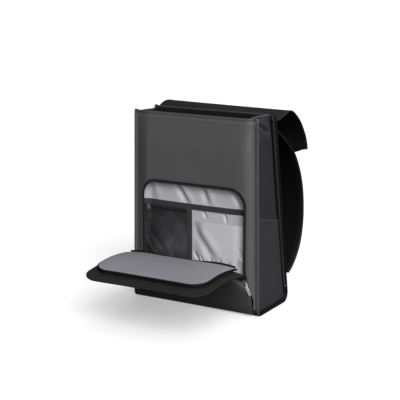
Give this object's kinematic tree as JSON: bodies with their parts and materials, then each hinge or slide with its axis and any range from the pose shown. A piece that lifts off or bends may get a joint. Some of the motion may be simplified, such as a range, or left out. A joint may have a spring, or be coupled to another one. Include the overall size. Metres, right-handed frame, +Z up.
{
  "type": "business backpack",
  "caption": "Box-shaped business backpack standing open: lid thrown back, front organiser pocket let down, padded curved shoulder straps, swinging zip pullers.",
  "frame": {"origin": "middle of the flat base, on the surface that the bag stands on", "axes": "+Z up, the front pocket faces -Y, +X to the right seen from the front"},
  "size_m": [0.3054, 0.4829, 0.4149],
  "materials": {
    "front_fabric": "coated woven polyester, soft satin, near black",
    "shell_fabric": "coated woven polyester, near black",
    "side_fabric": "coated woven polyester, near black with a blue cast",
    "piping": "satin piping, dark grey",
    "tape": "black woven tape",
    "lining": "thin satin lining, pale grey",
    "flap_lining": "smooth satin lining, mid grey",
    "mesh": "black knitted mesh",
    "lid_lining": "smooth woven lining, dark lavender grey",
    "strap": "black spacer mesh over foam",
    "buckle": "moulded black plastic",
    "slider_metal": "dark enamelled zinc"
  },
  "bodies": {
    "bag": {"front_panel": "front_fabric", "base_panel": "shell_fabric", "back_panel": "shell_fabric", "side_gusset_left": "side_fabric", "side_gusset_right": "side_fabric", "side_pocket_left": "side_fabric", "side_pocket_right": "side_fabric", "edge_piping_left": "piping", "edge_piping_right": "piping", "pocket_lining": "lining", "opening_zip_tape": "tape", "elastic_band": "tape", "mesh_zip_tape": "tape", "mesh_pocket": "mesh", "mesh_binding": "tape", "slip_pocket": "lining", "pocket_flap": "front_fabric", "flap_lining": "flap_lining", "flap_zip_band": "tape", "main_lid": "lid_lining", "shoulder_strap_left": "strap", "shoulder_strap_right": "strap", "strap_adjuster_left": "buckle", "strap_adjuster_right": "buckle", "strap_webbing_left": "tape", "strap_webbing_right": "tape", "mesh_zip_slider": "slider_metal", "front_zip_slider": "slider_metal"},
    "mesh_puller": {"mesh_zip_puller": "slider_metal"},
    "front_puller": {"front_zip_puller": "slider_metal"}
  },
  "joints": [
    {"name": "mesh_puller_swing", "type": "hinge", "parent": "bag", "child": "mesh_puller", "pos_m": [-0.112, -0.07203, 0.2042], "axis": [-0.9659, 0, -0.2588], "range_deg": [0, 150]},
    {"name": "front_puller_swing", "type": "hinge", "parent": "bag", "child": "front_puller", "pos_m": [0.12865, -0.08189, 0.0725], "axis": [-0.9135, 0, -0.4067], "range_deg": [0, 90]}
  ]
}
